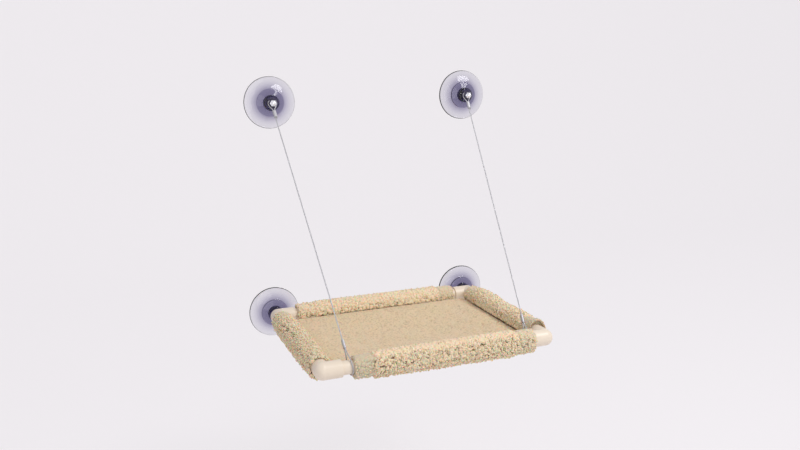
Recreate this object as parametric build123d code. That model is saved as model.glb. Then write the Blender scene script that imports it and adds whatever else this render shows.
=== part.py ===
from build123d import *
from math import atan2, cos, pi, radians, sin, tan
import os

os.makedirs("parts", exist_ok=True)

# Window mounted cat perch: a fleece-covered tray of plastic pipe that stands out from a window on
# two suction cups and hangs from two more by steel cables.
# The glass is the plane y = 0 and the room is on the -Y side. The origin is on the glass, midway
# between the two lower cups. +X runs along the window and +Z is up. Lengths are in millimetres.

# Driving dimensions
cup_diameter = 90.0
lower_cup_spacing = 370.0
upper_cup_spacing = 366.0
upper_cup_shift = 9.0
cup_rise = 376.0
rail_standoff = 34.8
tray_reach = 292.0
tip_angle = 45.0

# Half-inch pressure pipe and its slip elbows
pipe_diameter = 21.34
pipe_wall = 2.77
socket_clearance = 0.08
fitting_diameter = 27.5
fitting_reach = 28.6
socket_depth = 17.5
pipe_seat_gap = 0.3
mouth_round = 0.8
heel_cavity_diameter = 21.4
ball_swell = 0.15
slot_play = 0.9

# Suction cups, as they sit when pressed on the glass. Depths are measured from the glass.
seal_width = 4.0
rim_edge = 1.2
skirt_foot = 7.0
skirt_hollow = 1.4
cavity_depth = 1.5
cavity_bulge = 0.5
boss_diameter = 48.0
boss_top = 10.0
boss_shoulder = 12.0
hub_diameter = 27.0
upper_hub_depth = 22.0
lower_hub_gap = 11.0
hub_round = 1.5
heel_seat_clearance = 0.3

# Studs, washers and nuts, with M6 threads
stud_diameter = 6.0
stud_head_diameter = 16.0
stud_head_height = 2.5
stud_head_depth = 6.0
mould_clearance = 0.05
thread_clearance = 0.05
washer_play = 0.2
nut_across_flats = 10.0
nut_height = 5.0
hub_washer_diameter = 18.0
hub_washer_height = 1.5
cap_washer_diameter = 12.5
cap_washer_height = 1.5
cap_nut_hex_height = 5.5
cap_nut_dome_radius = 4.75
cap_nut_height = 11.0
cap_nut_thread_depth = 8.0
stud_end_gap = 1.0
cap_nut_gap = 0.1
nut_corner_chamfer = 0.5
dome_washer_clearance = 0.25
dome_washer_flat = 6.5
lower_stud_end = 0.5

# Suspension cables, of twisted steel wire, and their crimped ferrules
cable_diameter = 2.0
left_foot_inset = 42.6
right_foot_inset = 30.0
cable_seat_clearance = 0.3
strand_gap = 0.1
ferrule_length = 14.0
ferrule_wall = 1.1
ferrule_clearance = 0.15
ferrule_chamfer = 0.4
tail_stub = 3.0
eye_half_width = 7.0
eye_shoulder_drop = 4.0
eye_neck_reach = 8.5
eye_bend_reach = 10.0
eye_crown_radius = 4.5
eye_shoulder_radius = 6.0
eye_neck_radius = 7.0
eye_bend_radius = 60.0
foot_shoulder_reach = 9.0
foot_neck_reach = 26.0
foot_crown_radius = 11.5
foot_shoulder_radius = 8.0
foot_neck_radius = 12.0
foot_bend_reach = 10.0
foot_bend_radius = 60.0

# Fleece cover: a seat panel with a flap on each side that wraps its rail as a sleeve
sleeve_diameter = 37.0
sleeve_clearance = 0.3
hem_diameter = 36.0
hem_round = 2.0
long_sleeve_gap = 4.4
long_hem_length = 30.0
front_sleeve_slide = 11.8
short_sleeve_excess = 15.2
left_sleeve_overlap = 14.0
right_sleeve_overlap = 9.0
short_hem_length = 34.0
elbow_pocket_clearance = 0.4
cable_slit_play = 1.6
panel_top_drop = 4.0
panel_thickness = 4.0
panel_sag = 10.0
panel_border = 27.0
panel_gap = 0.3
least_sag = 0.2
sag_shares = (0.0, 0.45, 0.8, 0.96, 1.0, 0.96, 0.8, 0.45, 0.0)
tongue_thickness = 3.0
tongue_corner_gap = 2.0
strip_width = 24.0
strip_thickness = 1.0
strip_gap = 0.1
strip_end_inset = 6.0

# How far every cutting tool runs past what it cuts
overrun = 2.0

pipe_radius = pipe_diameter / 2
fitting_radius = fitting_diameter / 2
cable_radius = cable_diameter / 2
stud_radius = stud_diameter / 2
sleeve_radius = sleeve_diameter / 2
half_span = lower_cup_spacing / 2
rear_rail_y = -rail_standoff
front_rail_y = -(rail_standoff + tray_reach)
elbow_stop = fitting_reach - socket_depth
SIDES = {"left": -1, "right": 1}


def bar(start, end, radius):
    """Round bar from one point to another."""
    start, end = Vector(*start), Vector(*end)
    run = end - start
    return extrude(Plane(origin=start, z_dir=run) * Circle(radius), amount=run.length)


def depth_bar(x, z, near, far, radius):
    """Round bar square to the glass, between two depths from it."""
    return bar((x, -near, z), (x, -far, z), radius)


def depth_ring(x, z, near, far, radius, bore):
    """Washer square to the glass."""
    return depth_bar(x, z, near, far, radius) - depth_bar(x, z, near - overrun, far + overrun, bore)


def group(name, solids):
    """One named sub-part made of one or more separate solids."""
    shape = Compound(label=name, children=list(solids))
    export_step(shape, f"parts/{name}.step")


def lower_cup_x(side):
    return SIDES[side] * half_span


def upper_cup_x(side):
    return SIDES[side] * upper_cup_spacing / 2 + upper_cup_shift


# Suction cups

def cup_body(hub_depth):
    """Clear vinyl cup as a turned shape about the Y axis, its seal ring on the glass."""
    rim = cup_diameter / 2
    seal = rim - seal_width
    boss = boss_diameter / 2
    hub = hub_diameter / 2
    skirt_middle = ((rim + boss) / 2, -(rim_edge + skirt_foot) / 2 + skirt_hollow)
    cavity_middle = (seal / 2, -(cavity_depth / 2 + cavity_bulge))
    outline = (
        Line((rim, 0), (rim, -rim_edge))
        + ThreePointArc((rim, -rim_edge), skirt_middle, (boss, -skirt_foot))
        + Polyline((boss, -skirt_foot), (boss, -boss_top), (hub, -boss_shoulder), (hub, -hub_depth),
                   (0, -hub_depth), (0, -cavity_depth))
        + ThreePointArc((0, -cavity_depth), cavity_middle, (seal, 0))
        + Line((seal, 0), (rim, 0))
    )
    return revolve(make_face(outline), axis=Axis.Y)


def stud_cavity(hub_depth):
    """Room in the hub for the moulded-in stud and its head."""
    head = depth_bar(0, 0, stud_head_depth - mould_clearance,
                     stud_head_depth + stud_head_height + mould_clearance,
                     stud_head_diameter / 2 + mould_clearance)
    return head + depth_bar(0, 0, stud_head_depth, hub_depth + overrun, stud_radius + mould_clearance)


def stud(x, z, end_depth):
    head = depth_bar(x, z, stud_head_depth, stud_head_depth + stud_head_height, stud_head_diameter / 2)
    return head + depth_bar(x, z, stud_head_depth, end_depth, stud_radius)


def upper_cup():
    cup = cup_body(upper_hub_depth)
    hub_rim = cup.edges().filter_by(GeomType.CIRCLE).filter_by(
        lambda edge: abs(edge.center().Y + upper_hub_depth) < hub_round / 2)
    return fillet(hub_rim, hub_round) - stud_cavity(upper_hub_depth)


lower_hub_depth = rail_standoff - lower_hub_gap


def lower_cup():
    """The hub's face is hollowed about the line that the rear elbow turns on."""
    seat_radius = fitting_radius + heel_seat_clearance
    seat = bar((-hub_diameter, rear_rail_y, 0), (hub_diameter, rear_rail_y, 0), seat_radius)
    return cup_body(lower_hub_depth) - seat - stud_cavity(lower_hub_depth)


for side in SIDES:
    group(f"suction_cup_upper_{side}", [Pos(upper_cup_x(side), 0, cup_rise) * upper_cup()])
    group(f"suction_cup_lower_{side}", [Pos(lower_cup_x(side), 0, 0) * lower_cup()])

# Upper hardware: stud, hub washer, cable eye, cap washer and cap nut

cable_plane_depth = upper_hub_depth + hub_washer_height + strand_gap + cable_radius
cap_washer_depth = cable_plane_depth + cable_radius + strand_gap
cap_nut_depth = cap_washer_depth + cap_washer_height + cap_nut_gap
washer_bore = stud_radius + washer_play


def cap_nut(x, z):
    """Hexagon with a domed cap and a blind thread."""
    hexagon = Plane(origin=(x, -cap_nut_depth, z), z_dir=(0, -1, 0), x_dir=(1, 0, 0)) * RegularPolygon(
        nut_across_flats / 2, 6, major_radius=False)
    blank = extrude(hexagon, amount=cap_nut_hex_height)
    corner = nut_across_flats / 2 / cos(pi / 6)
    turned = depth_bar(x, z, cap_nut_depth, cap_nut_depth + cap_nut_hex_height, corner)
    turned = chamfer(turned.edges().filter_by(GeomType.CIRCLE), nut_corner_chamfer)
    dome_centre = cap_nut_depth + cap_nut_height - cap_nut_dome_radius
    dome = (Pos(x, -dome_centre, z) * Sphere(cap_nut_dome_radius)
            + depth_bar(x, z, cap_nut_depth + cap_nut_hex_height / 2, dome_centre, cap_nut_dome_radius))
    thread = depth_bar(x, z, cap_nut_depth - overrun, cap_nut_depth + cap_nut_thread_depth,
                       stud_radius + thread_clearance)
    return (blank & turned) + dome - thread


upper_stud_end = cap_nut_depth + cap_nut_thread_depth - stud_end_gap
group("upper_studs", [stud(upper_cup_x(side), cup_rise, upper_stud_end) for side in SIDES])
group("hub_washers", [
    depth_ring(upper_cup_x(side), cup_rise, upper_hub_depth, upper_hub_depth + hub_washer_height,
               hub_washer_diameter / 2, washer_bore) for side in SIDES])
group("cap_washers", [
    depth_ring(upper_cup_x(side), cup_rise, cap_washer_depth, cap_washer_depth + cap_washer_height,
               cap_washer_diameter / 2, washer_bore) for side in SIDES])
for side in SIDES:
    group(f"cap_nut_{side}", [cap_nut(upper_cup_x(side), cup_rise)])

# Lower hardware: stud, domed washer and nut, which hold the heel of the rear elbow

dome_washer_radius = heel_cavity_diameter / 2 - dome_washer_clearance
nut_seat_depth = rail_standoff - dome_washer_flat


def dome_washer(x):
    """Washer with a ball-shaped back that fits the elbow's hollow heel."""
    ball = Pos(x, rear_rail_y, 0) * Sphere(dome_washer_radius)
    keep = depth_bar(x, 0, nut_seat_depth - heel_cavity_diameter, nut_seat_depth, heel_cavity_diameter)
    return (ball & keep) - depth_bar(x, 0, 0, rail_standoff, washer_bore)


def lower_nut(x):
    hexagon = Plane(origin=(x, -nut_seat_depth, 0), z_dir=(0, -1, 0), x_dir=(1, 0, 0)) * RegularPolygon(
        nut_across_flats / 2, 6, major_radius=False)
    thread = depth_bar(x, 0, 0, rail_standoff + nut_height, stud_radius + thread_clearance)
    return extrude(hexagon, amount=nut_height) - thread


group("lower_studs", [stud(lower_cup_x(side), 0, rail_standoff - lower_stud_end) for side in SIDES])
group("dome_washers", [dome_washer(lower_cup_x(side)) for side in SIDES])
group("lower_nuts", [lower_nut(lower_cup_x(side)) for side in SIDES])

# Pipe frame


def elbow(inward, along, cavity_diameter):
    """Slip elbow with one leg towards the middle of the tray and one along the side rail.
    The legs meet in a ball that swells a little past them. Its centre is at the origin."""
    centre = Vector(0, 0, 0)
    legs = (Vector(inward, 0, 0), Vector(0, along, 0))
    body = Sphere(fitting_radius)
    hollow = Sphere(cavity_diameter / 2)
    for leg in legs:
        mouth = leg * fitting_reach
        tube = bar(centre, mouth, fitting_radius - ball_swell)
        lip = tube.edges().filter_by(GeomType.CIRCLE).filter_by(
            lambda edge: (edge.arc_center - mouth).length < mouth_round)
        body += fillet(lip, mouth_round)
        hollow += bar(centre, mouth, pipe_radius - pipe_wall)
        hollow += bar(leg * elbow_stop, mouth + leg * overrun, pipe_radius + socket_clearance)
    return body - hollow


def heel_slot():
    """Upright slot through the heel, which lets the elbow turn on the stud as the tray tips."""
    slot_radius = stud_radius + slot_play / 2
    tip = radians(tip_angle)
    far = fitting_radius / cos(tip / 2 + slot_radius / fitting_radius) + overrun
    outline = Polyline(
        (0, -slot_radius), (far, -slot_radius),
        (far * cos(tip) - slot_radius * sin(tip), far * sin(tip) + slot_radius * cos(tip)),
        (-slot_radius * sin(tip), slot_radius * cos(tip)), (0, -slot_radius))
    return extrude(Plane.YZ * make_face(outline), amount=slot_radius, both=True)


passage_diameter = pipe_diameter - 2 * pipe_wall + 2 * ball_swell
for side, sign in SIDES.items():
    rear = elbow(-sign, -1, heel_cavity_diameter) - heel_slot()
    front = elbow(-sign, 1, passage_diameter)
    group(f"rear_elbow_{side}", [Pos(sign * half_span, rear_rail_y, 0) * rear])
    group(f"front_elbow_{side}", [Pos(sign * half_span, front_rail_y, 0) * front])


def pipe(start, end):
    return bar(start, end, pipe_radius) - bar(start, end, pipe_radius - pipe_wall)


pipe_end_x = half_span - elbow_stop - pipe_seat_gap
pipe_rear_y = rear_rail_y - elbow_stop - pipe_seat_gap
pipe_front_y = front_rail_y + elbow_stop + pipe_seat_gap
group("rear_rail", [pipe((-pipe_end_x, rear_rail_y, 0), (pipe_end_x, rear_rail_y, 0))])
group("front_rail", [pipe((-pipe_end_x, front_rail_y, 0), (pipe_end_x, front_rail_y, 0))])
for side, sign in SIDES.items():
    group(f"side_rail_{side}", [pipe((sign * half_span, pipe_rear_y, 0),
                                     (sign * half_span, pipe_front_y, 0))])

# Suspension cables: each has an eye on its upper stud and a noose round the front rail

strand_offset = cable_radius + strand_gap / 2
cable_feet = {"left": left_foot_inset - half_span, "right": half_span - right_foot_inset}
eye_top = stud_radius + cable_seat_clearance + cable_radius
noose_radius = pipe_radius + cable_seat_clearance + cable_radius
eye_neck_turn = atan2(eye_half_width - strand_offset, eye_neck_reach)
eye_ferrule_reach = eye_neck_reach + eye_neck_radius * tan(eye_neck_turn / 2) + strand_gap
foot_neck_turn = atan2(noose_radius - strand_offset, foot_neck_reach - foot_shoulder_reach)
foot_ferrule_reach = foot_neck_reach + foot_neck_radius * tan(foot_neck_turn / 2) + strand_gap


def cable_eye(side):
    """Centre of the eye, on the axis of the upper stud."""
    return Vector(upper_cup_x(side), -cable_plane_depth, cup_rise)


def eye_shoulder(side):
    """Point between the eye's shoulders, where the cable turns to head for the front rail."""
    return cable_eye(side) - Vector(0, 0, eye_shoulder_drop)


def cable_foot(side):
    """Centre of the noose, on the axis of the front rail."""
    return Vector(cable_feet[side], front_rail_y, 0)


def cable_lean(side):
    """Direction of the taut run, from the front rail up."""
    return (eye_shoulder(side) - cable_foot(side)).normalized()


def noose_across(side):
    """Direction in the noose's plane, square to the taut run."""
    return cable_lean(side).cross(Vector(1, 0, 0)).normalized()


def cable(side):
    eye, shoulder, foot = cable_eye(side), eye_shoulder(side), cable_foot(side)
    along, across = cable_lean(side), noose_across(side)
    eye_tail_outline = (
        (strand_offset, eye_ferrule_reach + ferrule_length + tail_stub),
        (strand_offset, eye_neck_reach),
        (eye_half_width, 0),
    )
    eye_run_outline = (
        (-eye_half_width, 0),
        (-strand_offset, eye_neck_reach),
        (-strand_offset, eye_ferrule_reach + ferrule_length + eye_bend_reach),
    )
    foot_outline = (
        (foot_ferrule_reach + ferrule_length + foot_bend_reach, -strand_offset),
        (foot_neck_reach, -strand_offset),
        (foot_shoulder_reach, -noose_radius),
        (-noose_radius, -noose_radius),
        (-noose_radius, noose_radius),
        (foot_shoulder_reach, noose_radius),
        (foot_neck_reach, strand_offset),
        (foot_ferrule_reach + ferrule_length + tail_stub, strand_offset),
    )
    points = [shoulder + Vector(x, 0, 0) - along * reach for x, reach in eye_tail_outline]
    points += [eye + Vector(x, 0, eye_top) for x in (eye_half_width, -eye_half_width)]
    points += [shoulder + Vector(x, 0, 0) - along * reach for x, reach in eye_run_outline]
    points += [foot + along * a + across * b for a, b in foot_outline]
    radii = (eye_neck_radius, eye_shoulder_radius, eye_crown_radius, eye_crown_radius,
             eye_shoulder_radius, eye_neck_radius, eye_bend_radius,
             foot_bend_radius, foot_neck_radius, foot_shoulder_radius, foot_crown_radius,
             foot_crown_radius, foot_shoulder_radius, foot_neck_radius)
    route = FilletPolyline(*points, radius=list(radii))
    section = Plane(origin=route @ 0, z_dir=route % 0) * Circle(cable_radius)
    solid = sweep(section, path=route)
    share = solid.volume / (section.area * route.length)
    print(f"cable {side}: {route.length:.1f} long, volume over section times length {share:.4f}")
    print("  bend radii", ", ".join(f"{r:g}" for r in radii))
    return solid


def ferrule(seat):
    """Oval sleeve crimped over two strands, standing on the given plane."""
    outside = ferrule_wall + cable_radius
    body = extrude(seat * SlotCenterToCenter(2 * strand_offset, 2 * outside), amount=ferrule_length)
    ends = body.faces().filter_by(lambda face: abs(face.normal_at().dot(seat.z_dir)) > cos(pi / 4))
    body = chamfer(ends.edges(), ferrule_chamfer)
    for offset in (-strand_offset, strand_offset):
        bore = Plane(origin=seat.origin + seat.x_dir * offset - seat.z_dir * overrun, z_dir=seat.z_dir)
        body -= extrude(bore * Circle(cable_radius + ferrule_clearance),
                        amount=ferrule_length + 2 * overrun)
    return body


upper_ferrules, lower_ferrules = [], []
for side in SIDES:
    group(f"cable_{side}", [cable(side)])
    upper_ferrules.append(ferrule(Plane(
        origin=eye_shoulder(side) - cable_lean(side) * eye_ferrule_reach,
        z_dir=-cable_lean(side), x_dir=(1, 0, 0))))
    lower_ferrules.append(ferrule(Plane(
        origin=cable_foot(side) + cable_lean(side) * foot_ferrule_reach,
        z_dir=cable_lean(side), x_dir=noose_across(side))))
group("upper_ferrules", upper_ferrules)
group("lower_ferrules", lower_ferrules)

# Fleece cover

panel_bottom = -(panel_top_drop + panel_thickness)
loop_strip_top = panel_bottom - least_sag - strip_gap
hook_strip_top = loop_strip_top - strip_thickness - strip_gap
tongue_top = hook_strip_top - strip_thickness - strip_gap
tongue_reach = sleeve_radius + panel_gap + panel_border
pocket_radius = fitting_radius + elbow_pocket_clearance
sleeve_bore = pipe_radius + sleeve_clearance


def sleeve_tube(start, end, start_hem, end_hem):
    """Rolled fleece along the local Y axis with a flatter hem at each end, solid inside."""
    hem = hem_diameter / 2
    main = bar((0, start, 0), (0, end, 0), hem)
    main = fillet(main.edges().filter_by(GeomType.CIRCLE), hem_round)
    roll = bar((0, start + start_hem, 0), (0, end - end_hem, 0), sleeve_radius)
    return main + fillet(roll.edges().filter_by(GeomType.CIRCLE), sleeve_radius - hem)


def tongue(start, end, inner):
    """Flat edge of the flap that passes under the panel, along the local Y axis."""
    low, high = sorted((0, inner * tongue_reach))
    return Pos((low + high) / 2, (start + end) / 2, tongue_top - tongue_thickness / 2) * Box(
        high - low, end - start, tongue_thickness)


def sleeve_hollow(start, end, pockets):
    """Bore over the pipe, opened where the sleeve reaches over an elbow or a cable noose."""
    hollow = bar((0, start - overrun, 0), (0, end + overrun, 0), sleeve_bore)
    for pocket_start, pocket_end in pockets:
        hollow += bar((0, pocket_start, 0), (0, pocket_end, 0), pocket_radius)
    return hollow


along_x = Rot(Z=-90)
tongue_half = half_span - tongue_reach - tongue_corner_gap
long_half = half_span - fitting_reach - long_sleeve_gap

# The rear flap lies evenly between the elbows.
rear_sleeve = (sleeve_tube(-long_half, long_half, long_hem_length, long_hem_length)
               + tongue(-tongue_half, tongue_half, 1)
               - sleeve_hollow(-long_half, long_half, ()))
group("rear_sleeve", [Pos(0, rear_rail_y, 0) * along_x * rear_sleeve])

# The front flap has slid to the right, over the elbow's mouth and the right cable's noose.
front_start = front_sleeve_slide - long_half
front_end = front_sleeve_slide + long_half
noose_room = cable_radius + cable_slit_play
slit_start = cable_feet["right"] - noose_room
front_sleeve = (sleeve_tube(front_start, front_end, long_hem_length, long_hem_length)
                + tongue(-tongue_half, tongue_half, -1)
                - sleeve_hollow(front_start, front_end, [(slit_start, front_end + overrun)]))
slit_width = 2 * noose_room
slit_depth = 2 * (noose_radius + noose_room)
slit = Plane(origin=cable_foot("right"), x_dir=(1, 0, 0), z_dir=cable_lean("right")) * Box(
    slit_width, slit_depth, 2 * sleeve_radius, align=(Align.CENTER, Align.CENTER, Align.MIN))
front_sleeve = Pos(0, front_rail_y, 0) * along_x * front_sleeve - slit
group("front_sleeve", [front_sleeve])

# Each side flap is longer than the pipe between its elbows, so it reaches over both of them. The
# left flap lies further forward.
front_mouth_y = front_rail_y + fitting_reach
rear_mouth_y = rear_rail_y - fitting_reach
front_overlaps = {"left": left_sleeve_overlap, "right": right_sleeve_overlap}
short_sleeve_length = rear_mouth_y - front_mouth_y + short_sleeve_excess
short_tongue_start = front_rail_y + tongue_reach + tongue_corner_gap
short_tongue_end = rear_rail_y - tongue_reach - tongue_corner_gap
for side, sign in SIDES.items():
    start = front_mouth_y - front_overlaps[side]
    end = start + short_sleeve_length
    pockets = ((start - overrun, front_mouth_y + elbow_pocket_clearance),
               (rear_mouth_y - elbow_pocket_clearance, end + overrun))
    sleeve = (sleeve_tube(start, end, short_hem_length, short_hem_length)
              + tongue(short_tongue_start, short_tongue_end, -sign)
              - sleeve_hollow(start, end, pockets))
    group(f"{side}_sleeve", [Pos(sign * half_span, 0, 0) * sleeve])

# Seat panel: flat along its seams and sagging in the middle
panel_half = half_span - sleeve_radius - panel_gap
panel_rear = rear_rail_y - sleeve_radius - panel_gap
panel_front = front_rail_y + sleeve_radius + panel_gap


def panel_section(x, sag):
    """Slice of the panel square to X, with the given sag at its middle."""
    middle = (panel_rear + panel_front) / 2
    rear, front = panel_rear - panel_border, panel_front + panel_border
    top, bottom = -panel_top_drop, panel_bottom
    outline = (
        Line((panel_rear, top), (rear, top))
        + ThreePointArc((rear, top), (middle, top - sag), (front, top))
        + Polyline((front, top), (panel_front, top), (panel_front, bottom), (front, bottom))
        + ThreePointArc((front, bottom), (middle, bottom - sag), (rear, bottom))
        + Polyline((rear, bottom), (panel_rear, bottom), (panel_rear, top))
    )
    return Plane.YZ.offset(x) * make_face(outline)


sag_half = panel_half - panel_border
sections = [panel_section(-panel_half, least_sag)]
for index, share in enumerate(sag_shares):
    station = sag_half * (2 * index / (len(sag_shares) - 1) - 1)
    sections.append(panel_section(station, least_sag + share * (panel_sag - least_sag)))
sections.append(panel_section(panel_half, least_sag))
group("seat_panel", [loft(sections, ruled=True)])

# Hook-and-loop tape between each tongue and the panel


def tape_strips(top):
    """Four strips at one height, one along each side of the panel."""
    inset = sleeve_radius + panel_gap + strip_width / 2
    long_strip = 2 * (tongue_half - strip_end_inset)
    short_strip = short_tongue_end - short_tongue_start - 2 * strip_end_inset
    middle_y = (rear_rail_y + front_rail_y) / 2
    level = top - strip_thickness / 2
    return [
        Pos(0, rear_rail_y - inset, level) * Box(long_strip, strip_width, strip_thickness),
        Pos(0, front_rail_y + inset, level) * Box(long_strip, strip_width, strip_thickness),
        Pos(inset - half_span, middle_y, level) * Box(strip_width, short_strip, strip_thickness),
        Pos(half_span - inset, middle_y, level) * Box(strip_width, short_strip, strip_thickness),
    ]


group("loop_strips", tape_strips(loop_strip_top))
group("hook_strips", tape_strips(hook_strip_top))
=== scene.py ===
# %% [markdown]
# # A cat perch for a window
# The perch is a fleece-covered tray on a frame of plastic pipe. Two suction cups hold its back edge
# to the glass, and two steel cables hang its front edge from two more cups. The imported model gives
# every rigid piece at its real place. Here those pieces get their finish, and the clear cups, the
# twisted cables and the fleece are modelled as what they are. All lengths are in metres.

# %% Load the frame
import math
import random
from dataclasses import dataclass

import bmesh
import bpy
from mathutils import Matrix, Vector, noise


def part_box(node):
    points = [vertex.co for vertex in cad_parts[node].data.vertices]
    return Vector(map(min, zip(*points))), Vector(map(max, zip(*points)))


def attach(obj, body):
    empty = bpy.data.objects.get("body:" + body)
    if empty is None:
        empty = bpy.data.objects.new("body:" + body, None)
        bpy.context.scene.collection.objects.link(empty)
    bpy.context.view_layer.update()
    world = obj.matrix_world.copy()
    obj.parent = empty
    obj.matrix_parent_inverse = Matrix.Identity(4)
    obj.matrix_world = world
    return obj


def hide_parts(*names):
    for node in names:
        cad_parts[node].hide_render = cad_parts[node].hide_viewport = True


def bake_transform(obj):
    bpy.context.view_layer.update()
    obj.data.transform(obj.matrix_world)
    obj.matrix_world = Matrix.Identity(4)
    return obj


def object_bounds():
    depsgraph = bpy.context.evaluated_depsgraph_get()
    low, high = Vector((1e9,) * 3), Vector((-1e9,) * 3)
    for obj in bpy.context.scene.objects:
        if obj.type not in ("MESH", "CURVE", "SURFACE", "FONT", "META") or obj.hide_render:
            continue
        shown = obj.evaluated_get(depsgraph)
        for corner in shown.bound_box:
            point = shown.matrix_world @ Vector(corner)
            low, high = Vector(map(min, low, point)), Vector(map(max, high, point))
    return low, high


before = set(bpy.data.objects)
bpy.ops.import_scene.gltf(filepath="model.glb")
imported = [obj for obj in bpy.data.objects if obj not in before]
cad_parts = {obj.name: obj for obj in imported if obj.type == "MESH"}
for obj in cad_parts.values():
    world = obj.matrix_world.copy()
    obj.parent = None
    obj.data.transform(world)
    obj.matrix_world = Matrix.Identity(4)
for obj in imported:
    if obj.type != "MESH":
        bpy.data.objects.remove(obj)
cad_low, cad_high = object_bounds()
MM = 0.001
cad_size = [round(side / MM, 1) for side in cad_high - cad_low]
print("solids in", len(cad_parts), "nodes, box in millimetres", cad_size)

# %% [markdown]
# ## Camera
# The camera was fitted to the outlines of the four cups and of the pipes. It stands to the left of
# the perch and a little above it. The axes come from three turns: yaw, pitch and a slight roll.

# %% Camera
camera_place = Vector((-0.4869, -1.4735, 0.4524))
yaw, pitch, roll = (math.radians(turn) for turn in (20.473, 11.331, -1.285))
focal_pixels = 849.7
picture_width = 800
sensor_width = 36.0

ahead = Vector((math.sin(yaw) * math.cos(pitch), math.cos(yaw) * math.cos(pitch), -math.sin(pitch)))
level = Vector((math.cos(yaw), -math.sin(yaw), 0))
raised = level.cross(ahead)
right = level * math.cos(roll) + raised * math.sin(roll)
up = raised * math.cos(roll) - level * math.sin(roll)

camera = bpy.data.objects.new("camera", bpy.data.cameras.new("camera"))
bpy.context.scene.collection.objects.link(camera)
camera.data.sensor_width = sensor_width
camera.data.lens = focal_pixels * sensor_width / picture_width
turned_camera = Matrix((right, up, -ahead)).transposed().to_4x4()
camera.matrix_world = Matrix.Translation(camera_place) @ turned_camera
bpy.context.scene.camera = camera
bpy.context.scene.view_settings.view_transform = "Standard"
print("lens", round(camera.data.lens, 2), "mm")

# %% [markdown]
# ## Shader maths as expressions
# A finish is mostly arithmetic: a mask times a depth, plus a little noise. Wiring Math nodes by hand
# hides that, so `Wire` wraps a socket and lets Python's operators add the nodes. `Paint` holds one
# material and has one method for every other kind of node.

# %% Wire and Paint


class Wire:
    """A socket that arithmetic works on."""

    def __init__(self, paint, socket):
        self.paint = paint
        self.socket = socket

    def math(self, operation, first, second=None):
        inputs = {0: first} if second is None else {0: first, 1: second}
        return self.paint.add("ShaderNodeMath", {"operation": operation}, inputs)

    def __add__(self, other):
        return self.math("ADD", self, other)

    def __sub__(self, other):
        return self.math("SUBTRACT", self, other)

    def __rsub__(self, other):
        return self.math("SUBTRACT", other, self)

    def __mul__(self, other):
        return self.math("MULTIPLY", self, other)

    def at_most(self, other):
        return self.math("MINIMUM", self, other)

    def at_least(self, other):
        return self.math("MAXIMUM", self, other)

    __radd__ = __add__
    __rmul__ = __mul__


class Paint:
    """One material, or the world, and its node tree."""

    def __init__(self, name, kinds=bpy.data.materials):
        self.owner = kinds.new(name)
        self.owner.use_nodes = True
        self.tree = self.owner.node_tree
        self.tree.nodes.clear()

    def add(self, kind, settings=None, inputs=None, output=0):
        """Adds a node, with its settings first and then its sockets' values or links."""
        node = self.tree.nodes.new(kind)
        for name, value in (settings or {}).items():
            if name == "stops":
                ramp = node.color_ramp
                while len(ramp.elements) < len(value):
                    ramp.elements.new(0.5)
                for element, (place, colour) in zip(ramp.elements, value):
                    element.position = place
                    element.color = (*colour, 1)
            else:
                setattr(node, name, value)
        for name, value in (inputs or {}).items():
            if isinstance(value, Wire):
                self.tree.links.new(value.socket, node.inputs[name])
            else:
                node.inputs[name].default_value = value
        return Wire(self, node.outputs[output])

    def place(self):
        """The point on the piece, in metres."""
        return self.add("ShaderNodeTexCoord", output="Object")

    def stretched(self, scale):
        """The point on the piece, with each axis scaled by its own number."""
        return self.add("ShaderNodeMapping", None, {"Vector": self.place(), "Scale": scale})

    def noise(self, size, detail=3.0, roughness=0.55, where=None):
        """Soft noise from 0 to 1 whose blobs are about `size` metres across."""
        inputs = {"Vector": where or self.place(), "Scale": 1 / size, "Detail": detail,
                  "Roughness": roughness}
        return self.add("ShaderNodeTexNoise", None, inputs, "Fac")

    def ramp(self, value, stops):
        return self.add("ShaderNodeValToRGB", {"stops": stops}, {"Fac": value}, "Color")

    def blend(self, share, first, second):
        """Mixes two colours."""
        inputs = {"Factor": share, 6: first if isinstance(first, Wire) else (*first, 1),
                  7: second if isinstance(second, Wire) else (*second, 1)}
        return self.add("ShaderNodeMix", {"data_type": "RGBA"}, inputs, 2)

    def bump(self, height, depth, strength=1.0):
        return self.add("ShaderNodeBump", None,
                        {"Height": height, "Distance": depth, "Strength": strength}, "Normal")

    def seen(self):
        """1 for what the camera, a reflection or a clear piece sees, and 0 for light on the perch."""
        rays = [self.add("ShaderNodeLightPath", output=name)
                for name in ("Is Camera Ray", "Is Glossy Ray", "Is Transmission Ray")]
        return rays[0].at_least(rays[1]).at_least(rays[2])

    def shader(self, **inputs):
        """A Principled shader. Socket names are written with underscores."""
        sockets = {name.replace("_", " "): value for name, value in inputs.items()}
        return self.add("ShaderNodeBsdfPrincipled", None, sockets, "BSDF")

    def end(self, kind="Material", **shaders):
        """Ends the tree in its output node, and gives back the material or the world."""
        node = self.tree.nodes.new(f"ShaderNodeOutput{kind}")
        for name, wire in shaders.items():
            self.tree.links.new(wire.socket, node.inputs[name])
        return self.owner

    def finish(self, **inputs):
        """Ends the tree in one Principled shader."""
        return self.end(Surface=self.shader(**inputs))


def dress(piece, material):
    """Puts one material on a whole piece."""
    piece.data.materials.clear()
    piece.data.materials.append(material)


def placed(name, data):
    """A new object of some data, in the scene."""
    piece = bpy.data.objects.new(name, data)
    bpy.context.scene.collection.objects.link(piece)
    return piece


def new_piece(name, shape, material=None):
    """Makes an object of a bmesh, with its place in its mesh."""
    mesh = bpy.data.meshes.new(name)
    shape.to_mesh(mesh)
    shape.free()
    mesh.polygons.foreach_set("use_smooth", [True] * len(mesh.polygons))
    piece = placed(name, mesh)
    if material:
        dress(piece, material)
    return piece


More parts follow.
